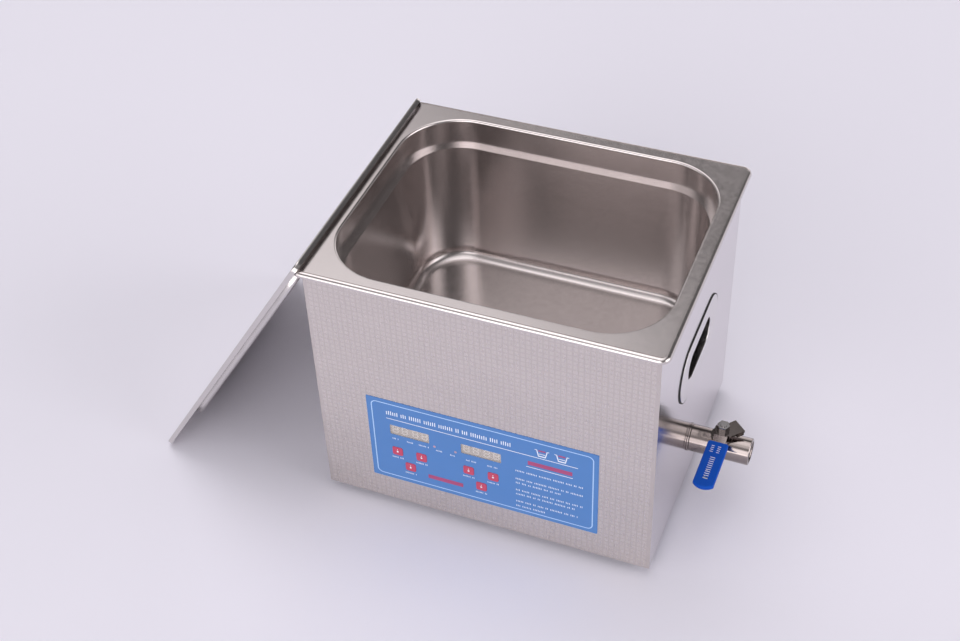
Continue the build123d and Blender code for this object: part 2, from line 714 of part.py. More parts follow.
def standoffs():
    return [hex_z(x, y, 5.5, BASE_TOP, STANDOFF_TOP) - rod_z(x, y, 1.5, BASE_Z, STANDOFF_TOP + 1)
            for x, y in standoff_places()]


def standoff_screws():
    screw = pan_screw(2.8, 1.9, 1.5, 6.0)
    return [Pos(x, y, GEN_TOP) * screw for x, y in standoff_places()]


def generator_board():
    board = slab(BOARD_X0, BOARD_X1, BOARD_Y0, BOARD_Y1, STANDOFF_TOP, GEN_TOP)
    for x, y in standoff_places():
        board -= rod_z(x, y, 1.6, STANDOFF_TOP - 1, GEN_TOP + 1)
    return board


def heat_sink():
    """Finned extrusion that cools the power transistors."""
    sink = slab(-120, -20, 62, 84, GEN_TOP, GEN_TOP + 5)
    for fin in range(6):
        y = 63.0 + fin * 3.6
        sink += slab(-120, -20, y, y + 1.6, GEN_TOP + 4, GEN_TOP + 26)
    return sink


def power_transistors():
    return [slab(x - 8, x + 8, 57.4, 62, GEN_TOP + 0.1, GEN_TOP + 20) for x in (-95, -70, -45)]


def output_transformer():
    """Ferrite core with its winding bobbin between the legs."""
    x, y, z = -96.0, 22.0, GEN_TOP
    core = slab(x - 21, x + 21, y - 7, y + 7, z + 0.5, z + 26)
    core -= slab(x - 14, x + 14, y - 8, y + 8, z + 6, z + 20.5)
    leg = slab(x - 5, x + 5, y - 7, y + 7, z + 5, z + 21)
    return core + leg


def transformer_winding():
    x, y, z = -96.0, 22.0, GEN_TOP
    coil = rounded(27.4, 27.4, 6, z + 6.4, z + 20.1, x, y)
    return coil - slab(x - 5.2, x + 5.2, y - 7.2, y + 7.2, z, z + 30)


def tuning_coil():
    ring = Pos(-46, 22, GEN_TOP + 13) * Rot(90, 0, 0) * Torus(9, 4.4)
    return ring


def capacitors():
    cans = []
    for x, y, radius, height in ((-5, 70, 9, 25), (-5, 45, 8, 24), (-18, 18, 5, 16), (-5, 14, 5, 16)):
        can = rod_z(x, y, radius, GEN_TOP, GEN_TOP + height)
        cans.append(fillet(edges_at(can, GEN_TOP + height), 0.8))
    return cans


def relays():
    return [slab(-134, -118, 4, 24, GEN_TOP, GEN_TOP + 16), slab(-134, -118, 30, 50, GEN_TOP, GEN_TOP + 16)]


def terminal_blocks():
    """Two four-way screw terminals and the ribbon header."""
    blocks = [slab(RIBBON_X - 7, RIBBON_X + 7, -7, -2, GEN_TOP, GEN_TOP + 8)]
    for x0 in (-72, -40):
        block = slab(x0, x0 + 26, -6.5, 3, GEN_TOP, GEN_TOP + 10)
        for way in range(4):
            block -= rod_z(x0 + 4 + way * 6, TERMINAL_Y, 1.9, GEN_TOP + 7, GEN_TOP + 11)
        blocks.append(block)
    return blocks


# ---------------------------------------------------------------- rear fittings
def fan_frame():
    y1 = HALF_D - PANEL
    y0 = y1 - 15
    frame = rounded_y(FAN, FAN, 3, y0, y1, FAN_X, FAN_Z)
    frame -= rod_y(FAN_X, FAN_Z, 28.0, y0 - 1, y1 + 1)
    for x, z in fan_holes():
        frame -= rod_y(x, z, 2.1, y0 - 1, y1 + 1)
    frame += rod_y(FAN_X, FAN_Z, 11, y0, y0 + 1.5)
    for turn in range(4):
        strut = slab(10, 28.6, -1.2, 1.2, 0, 1.5)
        frame += Pos(FAN_X, y0, FAN_Z) * Rot(-90, 0, 0) * Rot(0, 0, 45 + 90 * turn) * strut
    return frame


def fan_rotor():
    """Hub, shaft and seven pitched blades, clear of the frame."""
    y0 = HALF_D - PANEL - 15 + 2.2
    y1 = HALF_D - PANEL - 1.0
    rotor = rod_y(FAN_X, FAN_Z, 11, y0, y1)
    for blade in range(7):
        vane = Pos(19, 0, 0) * Rot(38, 0, 0) * Box(17.0, 14.0, 1.4)
        hub_line = Pos(FAN_X, (y0 + y1) / 2, FAN_Z) * Rot(-90, 0, 0)
        rotor += hub_line * Rot(0, 0, 360 / 7 * blade) * vane
    return rotor & rod_y(FAN_X, FAN_Z, 27.2, y0, y1)


def fan_guard():
    """Wire guard outside the rear sheet: rings on two cross bars, with screw eyes."""
    y = HALF_D + 1.2
    guard = None
    for radius in (8.0, 15.0, 22.0, 28.5):
        ring = Pos(FAN_X, y + 1.6, FAN_Z) * Rot(90, 0, 0) * Torus(radius, 0.9)
        guard = ring if guard is None else guard + ring
    for turn in (45, -45):
        bar = Rot(0, turn, 0) * Rot(0, 90, 0) * Cylinder(0.9, 62)
        guard += Pos(FAN_X, y + 0.2, FAN_Z) * bar
    for x, z in fan_holes():
        eye = rod_y(x, z, 3.9, HALF_D, HALF_D + 2.0)
        guard += eye
    for x, z in fan_holes():
        guard -= rod_y(x, z, 2.1, HALF_D - 1, HALF_D + 4)
    return guard


def fan_screws():
    screw = Rot(-90, 0, 0) * pan_screw(3.6, 2.2, 1.9, 16.0)
    return [Pos(x, HALF_D + 2.0, z) * screw for x, z in fan_holes()]


def mains_inlet():
    """Three-pole appliance inlet housing, flange outside, recess for the connector."""
    housing = rounded_y(27.0, 19.6, 2.5, HALF_D - 18, HALF_D, INLET_X, REAR_Z)
    flange = rounded_y(50.0, 23.0, 8.0, HALF_D, HALF_D + 3.0, INLET_X, REAR_Z)
    housing += flange
    housing -= rounded_y(24.4, 16.6, 3.5, HALF_D - 14, HALF_D + 4, INLET_X, REAR_Z)
    for x in (INLET_X - 20, INLET_X + 20):
        housing -= rod_y(x, REAR_Z, 1.7, HALF_D - 1, HALF_D + 4)
    for x, z in inlet_pin_places():
        housing -= slab(x - 1.0, x + 1.0, HALF_D - 19, HALF_D - 13, z - 2.0, z + 2.0)
    return housing


def inlet_pin_places():
    return [(INLET_X - 7, REAR_Z - 2), (INLET_X, REAR_Z + 2), (INLET_X + 7, REAR_Z - 2)]


def inlet_pins():
    """Flat contact blades with solder tags behind the housing."""
    return [slab(x - 1.0, x + 1.0, HALF_D - 26, HALF_D - 2.4, z - 2.0, z + 2.0)
            for x, z in inlet_pin_places()]


def inlet_screws():
    screw = Rot(-90, 0, 0) * pan_screw(2.8, 1.9, 1.6, 9.0)
    return [Pos(x, HALF_D + 3.0, REAR_Z) * screw for x in (INLET_X - 20, INLET_X + 20)]


def inlet_nuts():
    nuts = []
    for x in (INLET_X - 20, INLET_X + 20):
        face = Plane(origin=(x, HALF_D - PANEL - 2.4, REAR_Z), x_dir=(1, 0, 0), z_dir=(0, 1, 0))
        nut = extrude(face * RegularPolygon(2.75, 6, major_radius=False), 2.4)
        nuts.append(nut - rod_y(x, REAR_Z, 1.6, HALF_D - 6, HALF_D))
    return nuts


def fuse_holder():
    body = rod_y(FUSE_X, REAR_Z, 6.2, HALF_D - 30, HALF_D)
    body += rod_y(FUSE_X, REAR_Z, 8.0, HALF_D, HALF_D + 2.0)
    nut = rod_y(FUSE_X, REAR_Z, 8.4, HALF_D - PANEL - 4, HALF_D - PANEL)
    return body + nut - rod_y(FUSE_X, REAR_Z, 4.6, HALF_D - 26, HALF_D + 3)


def fuse_cap():
    """Quarter-turn cap with a screwdriver slot and the skirt that carries the fuse."""
    cap = rod_y(FUSE_X, REAR_Z, 6.8, HALF_D + 2.3, HALF_D + 9.0)
    cap = fillet(cap.edges().filter_by(GeomType.CIRCLE).sort_by(Axis.Y)[-1:], 1.0)
    cap -= slab(FUSE_X - 5, FUSE_X + 5, HALF_D + 7.6, HALF_D + 10, REAR_Z - 0.7, REAR_Z + 0.7)
    return cap + rod_y(FUSE_X, REAR_Z, 4.2, HALF_D - 2, HALF_D + 3)


def fuse_link():
    return rod_y(FUSE_X, REAR_Z, 2.6, HALF_D - 22, HALF_D - 2)


def switch_housing():
    """Rocker switch case with its bezel outside the rear sheet."""
    case = rounded_y(12.4, 27.0, 0.8, HALF_D - 20, HALF_D, SWITCH_X, REAR_Z)
    case += rounded_y(15.0, 31.0, 1.0, HALF_D, HALF_D + 2.0, SWITCH_X, REAR_Z)
    case -= rounded_y(10.4, 25.4, 0.5, HALF_D - 12, HALF_D + 4, SWITCH_X, REAR_Z)
    tags = [slab(SWITCH_X - 2.4, SWITCH_X + 2.4, HALF_D - 27, HALF_D - 19, z - 0.4, z + 0.4)
            for z in (REAR_Z - 7, REAR_Z + 7)]
    return case + tags[0] + tags[1]


def switch_rocker():
    """Rocker on a cross pivot, tipped to off at rest."""
    half = 9.8 / 2
    drum = Pos(SWITCH_X, ROCKER_Y, REAR_Z) * Rot(0, 90, 0) * Cylinder(11.6, 2 * half)
    left = slab(SWITCH_X - 6, SWITCH_X + 6, HALF_D - 14, HALF_D + 14, -12 + REAR_Z, 12 + REAR_Z)
    drum = drum & left
    hollow = Pos(SWITCH_X, ROCKER_Y + 31.5, REAR_Z) * Rot(0, 90, 0) * Cylinder(26.5, 20)
    drum -= hollow
    back = slab(SWITCH_X - 8, SWITCH_X + 8, HALF_D - 20, HALF_D - 8, REAR_Z - 14, REAR_Z + 14)
    rocker = drum - back
    tilt = Pos(SWITCH_X, ROCKER_Y, REAR_Z) * Rot(10, 0, 0) * Pos(-SWITCH_X, -ROCKER_Y, -REAR_Z)
    return tilt * rocker


# ---------------------------------------------------------------- wiring
def wire(points, radius, bend):
    """Insulated lead along straight runs joined by arcs."""
    path = FilletPolyline(*points, radius=bend)
    section = Plane(origin=path @ 0, z_dir=path % 0) * Circle(radius)
    return sweep(section, path=path)


def transducer_leads():
    """Leads from the stacks' upper electrodes down to the generator's terminals."""
    leads = []
    z = PIEZO_TOP - PIEZO_T - ELECTRODE_T
    level = 46.5
    for (x, y), end_x in zip(stack_places(), (-62, -68, -30, -24)):
        start = y - 22.5
        points = [(x, start, z), (x, start, level), (end_x, TERMINAL_Y, level), (end_x, TERMINAL_Y, 28)]
        leads.append(wire(points, 1.1, 5.0))
    return leads


def ribbon_cable():
    """Flat lead from the control board down to the generator board."""
    start_y = BOARD_Y + 6.6
    turn_y = start_y + 13
    points = [(RIBBON_X, start_y, 61), (RIBBON_X, turn_y, 61), (RIBBON_X, turn_y, 36),
              (RIBBON_X, -4.5, 36), (RIBBON_X, -4.5, GEN_TOP + 8)]
    path = FilletPolyline(*points, radius=6)
    section = Plane(origin=path @ 0, x_dir=(1, 0, 0), z_dir=path % 0) * Rectangle(12, 1.2)
    return sweep(section, path=path)


def mains_leads():
    """Inlet to board, inlet to fuse, fuse to switch, and switch to board."""
    tags = HALF_D - 26
    pin_z = REAR_Z - 2
    turn = 86.5
    tail = HALF_D - 30
    switch_y = HALF_D - 27
    routes = [
        [(INLET_X - 7, tags, pin_z), (INLET_X - 7, tags - 9, pin_z), (-127, 56, 46), (-127, 56, GEN_TOP)],
        [(INLET_X + 7, tags, pin_z), (INLET_X + 7, turn, pin_z), (FUSE_X - 3.5, turn, REAR_Z),
         (FUSE_X - 3.5, tail, REAR_Z)],
        [(FUSE_X + 3.5, tail, REAR_Z), (FUSE_X + 3.5, turn, REAR_Z), (SWITCH_X, turn, REAR_Z - 7),
         (SWITCH_X, switch_y, REAR_Z - 7)],
        [(SWITCH_X, switch_y, REAR_Z + 7), (SWITCH_X, 86, REAR_Z + 7), (6, 86, 50), (6, 86, GEN_TOP)],
    ]
    return [wire(points, 1.4, 3.0) for points in routes]


# ---------------------------------------------------------------- lid
def lid():
    """Pressed lid: turned-down edge and a shallow dish that drops into the tank mouth."""
    outer = rounded(RIM_W, RIM_D, RIM_R, -LID_EDGE, 0)
    outer = fillet(edges_at(outer, 0), 1.6)
    hollow = rounded(RIM_W - 2 * PANEL, RIM_D - 2 * PANEL, RIM_R - PANEL, -LID_EDGE, -PANEL)
    hollow = fillet(edges_at(hollow, -PANEL), 0.8)
    cover = outer - hollow
    dish_w = COLLAR_W - 1.0
    dish_d = COLLAR_D - 1.0
    dish_r = COLLAR_R - 0.5
    dish = rounded(dish_w, dish_d, dish_r, -LID_DISH, -PANEL)
    dish = fillet(edges_at(dish, -LID_DISH), 3.0)
    inside = rounded(dish_w - 2 * PANEL, dish_d - 2 * PANEL, dish_r - PANEL, -LID_DISH + PANEL, 0)
    inside = fillet(edges_at(inside, -LID_DISH + PANEL), 2.2)
    cover = cover + dish - inside
    mouth = [e for e in edges_at(cover, 0) if in_mouth(e)]
    cover = fillet(mouth, 1.2)
    flat = Pos(RIM_W / 2, 0, 0) * cover
    lean = math.radians(LID_ANGLE)
    foot_z = LID_EDGE * math.cos(lean)
    return Pos(LID_FOOT_X, 0, foot_z) * Rot(0, -LID_ANGLE, 0) * flat


# ---------------------------------------------------------------- write the parts
save("tank", tank())
save("front_panel", front_panel())
save("rear_panel", rear_panel())
save("left_side_panel", side_panel(-1))
save("right_side_panel", side_panel(1))
save("left_handle", side_handle(-1))
save("right_handle", side_handle(1))
save("corner_angles", *corner_angles())
save("base_plate", base_plate())
save("feet", *feet())
save("case_fasteners", *foot_screws(), *foot_nuts(), *rear_screws())

save("drain_spud", drain_spud())
save("drain_gasket", drain_gasket())
save("pipe_fixings", drain_locknut(), outlet_locknut(), outlet_washer())
save("drain_hose", drain_hose())
save("hose_clamps", *hose_clamps())
save("outlet_pipe", outlet_pipe())
save("valve_body", valve_body())
save("valve_insert", valve_insert())
save("valve_seals", *valve_seats(), stem_packing())
save("valve_ball", valve_ball())
save("valve_stem", valve_stem())
save("gland_nut", gland_nut())
save("valve_lever", valve_lever())
save("lever_sleeve", lever_sleeve())
save("stem_nut", stem_nut())

save("control_label", control_label())
save("display_windows", *display_windows())
save("display_modules", *[display_module(place) for place in DISPLAY_XZ])
for number, (key_x, key_z) in enumerate(key_places(), start=1):
    save(f"key_{number}", key_cap(key_x, key_z))
save("control_board", control_board(), *tact_switches(), *board_chips())
save("indicator_lamps", *indicator_lamps())

save("transducer_front_masses", *front_masses())
save("transducer_piezo_rings", *piezo_rings())
save("transducer_electrodes", *electrodes())
save("transducer_back_masses", *back_masses())
save("transducer_bolts", *stack_bolts())
save("heater_pad", heater_pad())
save("thermal_sensors", thermal_cutout(), water_sensor())

save("generator_board", generator_board(), output_transformer(), transformer_winding(), tuning_coil(),
     *capacitors(), *relays(), *terminal_blocks())
save("heat_sink", heat_sink(), *power_transistors())
save("board_mounts", *board_studs(), *standoffs(), *standoff_screws())

save("transducer_leads", *transducer_leads())
save("ribbon_cable", ribbon_cable())
save("mains_leads", *mains_leads())

save("fan_frame", fan_frame())
save("fan_rotor", fan_rotor())
save("fan_guard", fan_guard(), *fan_screws())
save("mains_inlet", mains_inlet(), *inlet_screws(), *inlet_nuts())
save("inlet_pins", *inlet_pins())
save("fuse_holder", fuse_holder(), fuse_link())
save("fuse_cap", fuse_cap())
save("switch_housing", switch_housing())
save("switch_rocker", switch_rocker())
save("lid", lid())
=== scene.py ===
"""Bench-top ultrasonic cleaner: finishes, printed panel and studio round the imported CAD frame."""
import math
import random

import bpy
from mathutils import Matrix, Vector

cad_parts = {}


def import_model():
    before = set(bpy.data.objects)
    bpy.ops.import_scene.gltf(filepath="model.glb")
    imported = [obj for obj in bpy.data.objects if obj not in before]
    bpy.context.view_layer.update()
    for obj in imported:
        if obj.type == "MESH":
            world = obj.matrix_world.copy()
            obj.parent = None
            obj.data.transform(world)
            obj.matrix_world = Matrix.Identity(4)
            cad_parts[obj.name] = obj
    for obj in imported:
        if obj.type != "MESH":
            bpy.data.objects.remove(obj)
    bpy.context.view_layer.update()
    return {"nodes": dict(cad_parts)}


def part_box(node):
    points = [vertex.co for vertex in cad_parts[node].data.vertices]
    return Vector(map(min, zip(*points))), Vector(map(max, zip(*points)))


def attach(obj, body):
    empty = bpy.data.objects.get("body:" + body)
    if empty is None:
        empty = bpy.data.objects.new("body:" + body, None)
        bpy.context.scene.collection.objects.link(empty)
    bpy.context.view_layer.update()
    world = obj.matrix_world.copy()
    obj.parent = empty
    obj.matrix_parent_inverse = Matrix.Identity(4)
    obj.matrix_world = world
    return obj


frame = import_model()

MM = 0.001
nodes = frame["nodes"]


# ---------------------------------------------------------------- sizes read from the frame
FRONT_LOW, FRONT_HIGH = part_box("front_panel")
LABEL_LOW, LABEL_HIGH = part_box("control_label")
SLEEVE_LOW, SLEEVE_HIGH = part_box("lever_sleeve")
FRONT_Y = FRONT_LOW[1]
LABEL_X = (LABEL_LOW[0] + LABEL_HIGH[0]) / 2
LABEL_HEIGHT = (LABEL_HIGH[2] - LABEL_LOW[2]) / MM
MOUTH_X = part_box("valve_body")[1][0]
KEY_COUNT = 6


# ---------------------------------------------------------------- embossing of the front, in mm
EMBOSS_PITCH = 5.0
EMBOSS_PAD = 0.74           # share of the pitch that a pad covers at its foot
EMBOSS_TOP = 0.52           # the same near its top
EMBOSS_CROWN = 0.6          # size of the flat crown against the top
EMBOSS_RISE = 0.13
EMBOSS_SINK = 0.01          # how far a pad's foot lies inside the sheet
EMBOSS_SIDE = 4.0           # plain strip left over the width, both sides together
EMBOSS_BELOW = 1.0          # plain strips at the sheet's lower and upper edges
EMBOSS_ABOVE = 3.0


# ---------------------------------------------------------------- label layout, in mm
# u runs to the right of the label's middle, v up from its lower edge.
LABEL_LIFT = 0.06           # how far the print stands off the label
BORDER_W, BORDER_H, BORDER_R, BORDER_STROKE = 206.5, 93.0, 5.5, 1.0
TITLE_FROM, TITLE_TO, TITLE_V = -89.0, 30.5, 85.4
TITLE_STROKE_H, TITLE_PITCH = 4.8, 2.0
RULES = ((-89.5, 77.9, 89.0, 78.6), (42.0, 63.6, 84.5, 64.3))
NOTES_FROM = 32.0
NOTES = ((93, 55.1), (94, 44.7), (74, 39.4), (93, 30.2), (86, 24.8), (90, 15.4), (61, 9.3))   # end u, v
NOTE_STROKE_H, NOTE_PITCH = 2.0, 1.45
CAPTION_STROKE_H, CAPTION_PITCH = 1.7, 1.25
KEY_CAPTION_HALF, KEY_CAPTION_DROP = 5.5, 8.3
CAPTIONS = ((-82, 54, 6), (-68, 54, 6), (-55, 54, 9), (-40, 53, 6), (-27, 52, 5), (-10, 51, 9),
            (10, 51, 9))    # middle u, v, length
RED_STRIPS = ((43.5, 66.6, 84.0, 71.4), (-52.5, 13.4, -18.7, 18.2))
BASKETS = ((56.5, 84.6), (74.5, 84.6))


# ---------------------------------------------------------------- digits and key marks, in mm
DISPLAYS = ((-68.5, 103.0), (-0.7, 102.4))      # x and z of the two displays' middles
DIGIT_OFFSETS = (-14.0, -5.1, 5.1, 14.0)
DIGIT_HALF_W, DIGIT_HALF_H = 2.3, 3.9
SEGMENT_STROKE, SEGMENT_GAP = 1.35, 0.35
SEGMENTS = (((-1, 1), (1, 1)), ((-1, 0), (1, 0)), ((-1, -1), (1, -1)),
            ((-1, 0), (-1, 1)), ((1, 0), (1, 1)), ((-1, -1), (-1, 0)), ((1, -1), (1, 0)))
FACE_LIFT = 0.04            # how far a print stands off a display or a key
KEY_DOT_R, KEY_DOT_DROP = 0.95, 0.4
KEY_TICK_HALF, KEY_TICK_LOW, KEY_TICK_HIGH = 0.3, 1.4, 2.6


# ---------------------------------------------------------------- valve and grips, in mm
SLEEVE_LIFT = 0.03
MARKS_FROM, MARKS_TO, MARKS_PITCH = 20.0, 46.0, 2.5     # long row of marks, from the sleeve's inner end
MARK_HALF, MARK_STROKE, MARK_FOOT = 2.2, 0.8, 1.7
PAIR_ROWS = (-3.4, 2.4)                                 # two short rows nearer to the nut
PAIR_FROM, PAIR_TO, PAIR_PITCH, PAIR_HALF, PAIR_STROKE = 6.0, 15.0, 2.4, 1.4, 0.7
OUTLET_Y, OUTLET_Z = -5.0, 60.0                         # axis of the drain line
THREAD_START, THREAD_PITCH, THREAD_TURNS = -13.2, 1.8, 7
THREAD_ROOT_R, THREAD_CREST_R, THREAD_BACK_R, THREAD_END = 9.88, 9.3, 9.95, -0.6
SHADOW_RING_OVER = 0.7           # how far the black ring of painted shadow reaches beyond a grip plate
SHADOW_RING_W = 0.9
SHADOW_RING_FLAT = 0.1           # how much its corner radius falls short of a half round
SHADOW_RING_NEAR, SHADOW_RING_BACK = 0.30, 1.22                   # its depths below the plate's face


# ---------------------------------------------------------------- materials
def new_material(name):
    """Empty node material with its Principled shader."""
    mat = bpy.data.materials.new(name)
    mat.use_nodes = True
    return mat, mat.node_tree.nodes, mat.node_tree.links, mat.node_tree.nodes["Principled BSDF"]


def object_noise(tree_nodes, links, scale, detail=4.0):
    """Noise in object space, stretched by scale, which is in cycles per metre along each axis."""
    where = tree_nodes.new("ShaderNodeTexCoord")
    mapping = tree_nodes.new("ShaderNodeMapping")
    mapping.inputs["Scale"].default_value = scale
    noise = tree_nodes.new("ShaderNodeTexNoise")
    noise.inputs["Scale"].default_value = 1.0
    noise.inputs["Detail"].default_value = detail
    noise.inputs["Roughness"].default_value = 0.6
    links.new(where.outputs["Object"], mapping.inputs["Vector"])
    links.new(mapping.outputs["Vector"], noise.inputs["Vector"])
    return noise.outputs["Fac"]


def spread(tree_nodes, links, value, low, high):
    """Maps the middle of a noise onto low..high."""
    node = tree_nodes.new("ShaderNodeMapRange")
    node.inputs["From Min"].default_value = 0.3
    node.inputs["From Max"].default_value = 0.7
    node.inputs["To Min"].default_value = low
    node.inputs["To Max"].default_value = high
    links.new(value, node.inputs["Value"])
    return node.outputs["Result"]


def surface(name, colour, rough, grain, bump=0.05, depth=0.02, tint=0.05, clouds=(30, 30, 30), **sockets):
    """A finish: grain drives bump and roughness, slow clouds vary the colour a little."""
    mat, tree, links, shader = new_material(name)
    fine = object_noise(tree, links, grain)
    links.new(spread(tree, links, fine, rough[0], rough[1]), shader.inputs["Roughness"])
    relief = tree.new("ShaderNodeBump")
    relief.inputs["Strength"].default_value = bump
    relief.inputs["Distance"].default_value = depth * MM
    links.new(fine, relief.inputs["Height"])
    links.new(relief.outputs["Normal"], shader.inputs["Normal"])
    slow = object_noise(tree, links, clouds, detail=2.0)
    ramp = tree.new("ShaderNodeValToRGB")
    ramp.color_ramp.elements[0].position = 0.3
    ramp.color_ramp.elements[1].position = 0.7
    ramp.color_ramp.elements[0].color = (*[c * (1 - tint) for c in colour], 1)
    ramp.color_ramp.elements[1].color = (*[min(1.0, c * (1 + tint)) for c in colour], 1)
    links.new(slow, ramp.inputs["Fac"])
    links.new(ramp.outputs["Color"], shader.inputs["Base Color"])
    for socket, value in sockets.items():
        shader.inputs[socket.replace("_", " ")].default_value = value
    return mat


def tank_steel():
    return surface("tank_steel", (0.65, 0.605, 0.595), (0.20, 0.26), (220, 220, 900), bump=0.012,
                   depth=0.01, tint=0.02, clouds=(14, 14, 5), Metallic=1.0)


# Front sheet steel, a little darker than the pads: painted shade in the lines between the pads.
def embossed_steel():
    return surface("embossed_steel", (0.635, 0.585, 0.56), (0.26, 0.36), (900, 900, 120), bump=0.05,
                   tint=0.025, clouds=(8, 8, 16), Metallic=1.0)


# Pads are a brighter copy of the front sheet's steel: painted highlight, for the lighter reflection of the
# pads.
def pad_steel_painted_light():
    return surface("pad_steel_painted_light", (0.69, 0.64, 0.61), (0.24, 0.32), (900, 900, 120), bump=0.05,
                   tint=0.02, clouds=(8, 8, 16), Metallic=1.0)


def side_steel():
    return surface("side_steel", (0.72, 0.685, 0.70), (0.12, 0.17), (700, 90, 700), bump=0.015,
                   depth=0.01, tint=0.02, clouds=(6, 6, 12), Metallic=1.0)


def lid_steel():
    return surface("lid_steel", (0.66, 0.63, 0.62), (0.16, 0.24), (60, 900, 60), bump=0.02,
                   depth=0.01, tint=0.03, clouds=(10, 10, 10), Metallic=1.0)


def handle_steel():
    return surface("handle_steel", (0.72, 0.69, 0.69), (0.12, 0.18), (300, 300, 300), bump=0.015,
                   depth=0.01, tint=0.03, Metallic=1.0)


def valve_steel():
    return surface("valve_steel", (0.33, 0.290, 0.275), (0.08, 0.16), (2600, 40, 40), bump=0.05,
                   depth=0.02, tint=0.05, clouds=(90, 20, 20), Metallic=1.0)


def nut_chrome():
    return surface("nut_chrome", (0.74, 0.72, 0.72), (0.07, 0.13), (900, 900, 900), bump=0.02,
                   depth=0.01, tint=0.03, Metallic=1.0)


def zinc_steel():
    return surface("zinc_steel", (0.60, 0.60, 0.58), (0.28, 0.42), (260, 260, 260), bump=0.08,
                   tint=0.10, clouds=(90, 90, 90), Metallic=1.0)


def rubber():
    return surface("rubber", (0.020, 0.020, 0.021), (0.62, 0.80), (900, 900, 900), bump=0.25,
                   depth=0.05, tint=0.15, Specular_IOR_Level=0.35)


def hose_rubber():
    return surface("hose_rubber", (0.74, 0.73, 0.69), (0.38, 0.52), (300, 300, 300), bump=0.10,
                   tint=0.04, Subsurface_Weight=0.15, Subsurface_Scale=0.004)


def sleeve_blue():
    return surface("sleeve_blue", (0.001, 0.075, 0.47), (0.42, 0.52), (420, 420, 420), bump=0.15,
                   depth=0.05, tint=0.06, Specular_IOR_Level=0.16)


def label_blue():
    return surface("label_blue", (0.062, 0.203, 0.510), (0.30, 0.38), (700, 700, 700), bump=0.06,
                   tint=0.02, clouds=(20, 20, 20), Coat_Weight=0.30, Coat_Roughness=0.22)


def key_red():
    return surface("key_red", (0.52, 0.042, 0.105), (0.28, 0.36), (700, 700, 700), bump=0.08,
                   tint=0.04, Coat_Weight=0.35, Coat_Roughness=0.18)


def window():
    return surface("window", (0.62, 0.58, 0.55), (0.08, 0.12), (400, 400, 400), bump=0.02,
                   tint=0.02, Alpha=0.28)


def display_face():
    return surface("display_face", (0.58, 0.54, 0.50), (0.42, 0.52), (600, 600, 600), bump=0.08, tint=0.04)


def lamp_red():
    return surface("lamp_red", (0.55, 0.36, 0.42), (0.20, 0.28), (500, 500, 500), bump=0.05,
                   tint=0.05, Subsurface_Weight=0.2, Subsurface_Scale=0.002)


def board_green():
    return surface("board_green", (0.020, 0.150, 0.065), (0.30, 0.44), (500, 30, 500), bump=0.15,
                   tint=0.18, clouds=(160, 160, 160), Coat_Weight=0.3, Coat_Roughness=0.2)


def board_brass():
    return surface("board_brass", (0.74, 0.58, 0.30), (0.20, 0.32), (400, 400, 400), bump=0.06,
                   tint=0.06, Metallic=1.0)


def ptfe():
    return surface("ptfe", (0.86, 0.86, 0.84), (0.34, 0.44), (300, 300, 300), bump=0.04, tint=0.02)


def aluminium_raw():
    return surface("aluminium_raw", (0.76, 0.76, 0.77), (0.24, 0.36), (120, 120, 1500), bump=0.10,
                   depth=0.04, tint=0.04, Metallic=1.0)


def ceramic_buff():
    return surface("ceramic_buff", (0.42, 0.36, 0.27), (0.50, 0.66), (700, 700, 700), bump=0.15, tint=0.08)


def copper_tab():
    return surface("copper_tab", (0.80, 0.45, 0.26), (0.24, 0.38), (250, 250, 250), bump=0.06,
                   tint=0.10, Metallic=1.0)


def stack_steel():
    return surface("stack_steel", (0.46, 0.46, 0.48), (0.26, 0.40), (120, 120, 1500), bump=0.12,
                   depth=0.04, tint=0.06, Metallic=1.0)


def heater_foil():
    return surface("heater_foil", (0.76, 0.76, 0.75), (0.22, 0.42), (160, 160, 160), bump=0.35,
                   depth=0.2, tint=0.04, Metallic=1.0)


def sensor_grey():
    return surface("sensor_grey", (0.26, 0.27, 0.28), (0.45, 0.58), (500, 500, 500), bump=0.12, tint=0.06)


def black_plastic():
    return surface("black_plastic", (0.022, 0.022, 0.024), (0.40, 0.54), (1100, 1100, 1100), bump=0.22,
                   depth=0.05, tint=0.12)


def wire_red():
    return surface("wire_red", (0.46, 0.03, 0.03), (0.38, 0.50), (300, 300, 300), bump=0.08, tint=0.08)


def wire_grey():
    return surface("wire_grey", (0.46, 0.47, 0.49), (0.42, 0.54), (900, 60, 900), bump=0.2, tint=0.06)


def wire_brown():
    return surface("wire_brown", (0.17, 0.065, 0.03), (0.38, 0.50), (300, 300, 300), bump=0.08, tint=0.08)


def sink_black():
    return surface("sink_black", (0.045, 0.045, 0.050), (0.34, 0.46), (60, 1200, 60), bump=0.12,
                   tint=0.10, Metallic=0.7)


def print_white():
    return surface("print_white", (0.80, 0.86, 0.93), (0.34, 0.42), (700, 700, 700), bump=0.04, tint=0.02)


def print_pale():
    return surface("print_pale", (0.42, 0.62, 0.90), (0.34, 0.42), (700, 700, 700), bump=0.04, tint=0.02)


def print_red():
    return surface("print_red", (0.38, 0.060, 0.170), (0.32, 0.40), (700, 700, 700), bump=0.04, tint=0.06)


def segment_white():
    return surface("segment_white", (0.88, 0.86, 0.82), (0.34, 0.42), (700, 700, 700), bump=0.04, tint=0.02)


def sleeve_print():
    return surface("sleeve_print", (0.72, 0.76, 0.84), (0.36, 0.44), (900, 900, 900), bump=0.06, tint=0.05)


def floor_paper():
    return surface("floor_paper", (0.845, 0.835, 0.92), (0.66, 0.72), (60, 60, 60), bump=0.02,
                   tint=0.004, clouds=(2, 2, 2), Specular_IOR_Level=0.2)


